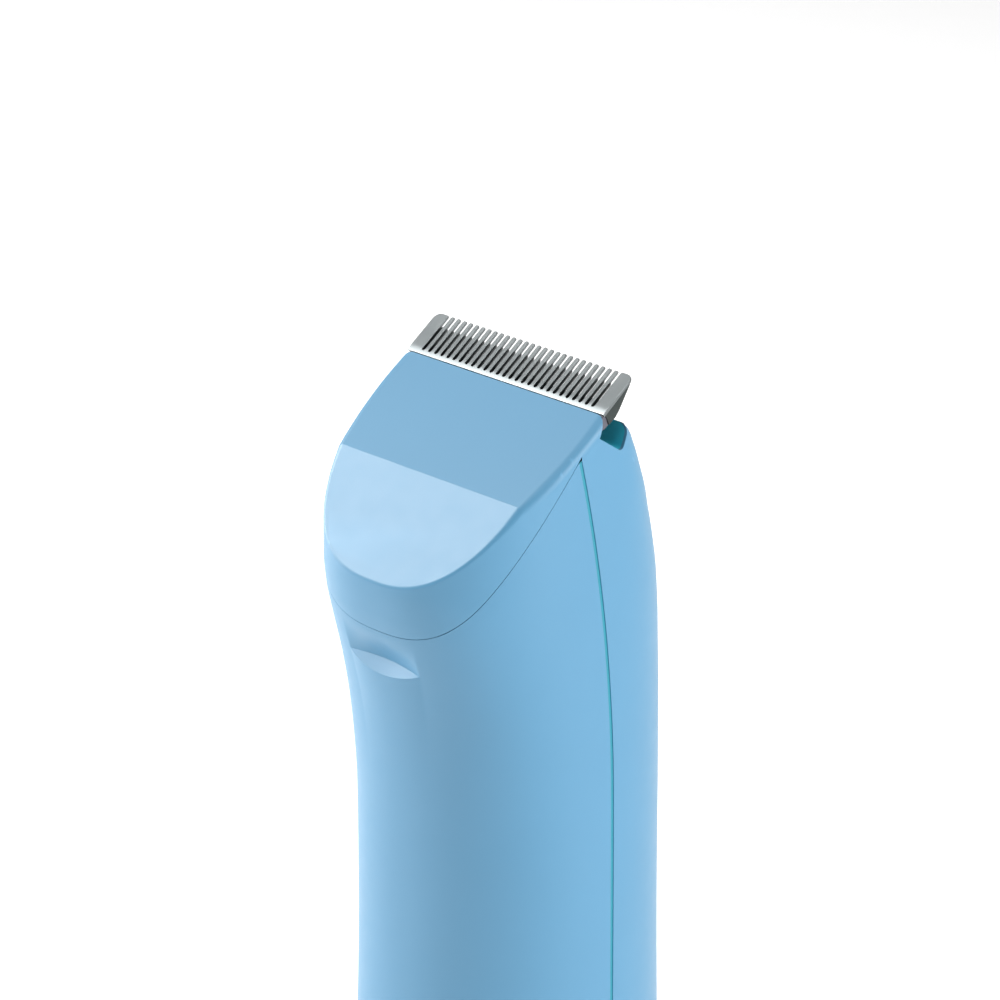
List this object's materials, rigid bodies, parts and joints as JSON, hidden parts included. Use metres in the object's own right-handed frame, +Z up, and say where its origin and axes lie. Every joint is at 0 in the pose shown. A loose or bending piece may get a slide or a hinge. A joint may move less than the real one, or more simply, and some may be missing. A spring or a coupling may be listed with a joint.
{
  "type": "body groomer",
  "caption": "Cordless body groomer: steel comb blade on a sloped two-facet nose, waisted soft handle with a side seam, round power button and base charging socket.",
  "frame": {"origin": "middle of the flat base, where the long axis meets the surface it stands on", "axes": "+Z up the handle towards the blade; -Y is the side of the sloped nose and power button; X is along the blade"},
  "size_m": [0.043, 0.0434, 0.1601],
  "materials": {
    "shell_blue": "satin light blue",
    "teal": "smooth teal elastomer",
    "steel": "fine ground",
    "dark_steel": "dark ground",
    "carrier_grey": "matt dark grey",
    "rubber": "matt black",
    "board_green": "green solder mask",
    "chip_black": "matt black",
    "frame_white": "natural white",
    "cell_wrap": "blue shrink wrap",
    "foam": "dark foam",
    "copper": "copper coloured",
    "lens": "clear light guide",
    "wire_red": "red insulation",
    "wire_black": "black insulation"
  },
  "bodies": {
    "housing": {"rear_housing": "shell_blue", "front_housing": "shell_blue", "seam_gasket": "teal", "head_insert": "teal", "bottom_cap": "shell_blue", "base_seal": "rubber", "motor_can": "steel", "motor_end_bell": "frame_white", "motor_magnet_left": "chip_black", "motor_magnet_right": "chip_black", "motor_bracket": "frame_white", "shaft_seal": "rubber", "circuit_board": "board_green", "charge_controller": "chip_black", "charge_led": "lens", "led_lens": "lens", "tact_switch": "chip_black", "button_seal": "rubber", "charging_socket": "steel", "socket_tongue": "chip_black", "inner_frame": "frame_white", "battery_cell": "cell_wrap", "battery_tab_positive": "steel", "battery_tab_negative": "steel", "battery_pad": "foam", "frame_screw_lower": "steel", "frame_screw_upper": "steel", "board_screw_left": "steel", "board_screw_right": "steel", "motor_screw_left": "steel", "motor_screw_right": "steel", "cap_screw_left": "steel", "cap_screw_right": "steel", "motor_wire_red": "wire_red", "motor_wire_black": "wire_black", "battery_wire_red": "wire_red", "battery_wire_black": "wire_black"},
    "cutting_head": {"fixed_blade": "steel", "blade_carrier": "carrier_grey", "blade_spring_left": "steel", "blade_spring_right": "steel"},
    "cutter": {"moving_blade": "dark_steel", "drive_fork": "frame_white"},
    "rotor": {"motor_shaft": "steel", "motor_armature": "copper", "motor_commutator": "copper", "drive_cam": "frame_white", "drive_pin": "steel"},
    "button": {"power_button": "shell_blue"},
    "plunger": {"switch_plunger": "frame_white"}
  },
  "joints": [
    {"name": "blade_lift", "type": "slide", "parent": "housing", "child": "cutting_head", "axis": [0, 0.8, 0.6], "range_m": [0, 0.015]},
    {"name": "blade_stroke", "type": "slide", "parent": "cutting_head", "child": "cutter", "axis": [1, 0, 0], "range_m": [-0.0008, 0.0008]},
    {"name": "motor_spin", "type": "hinge", "parent": "housing", "child": "rotor", "pos_m": [0, -0.0044, 0.1396], "axis": [0, 0, 1], "continuous": true},
    {"name": "button_press", "type": "slide", "parent": "housing", "child": "button", "axis": [0, 1, 0], "range_m": [0, 0.0006], "stiffness_N_per_m": 2000},
    {"name": "plunger_press", "type": "slide", "parent": "housing", "child": "plunger", "axis": [0, 1, 0], "range_m": [0, 0.0003]}
  ],
  "couplings": [
    {"joint": "plunger_press", "follows": "button_press", "ratio": 0.5}
  ]
}
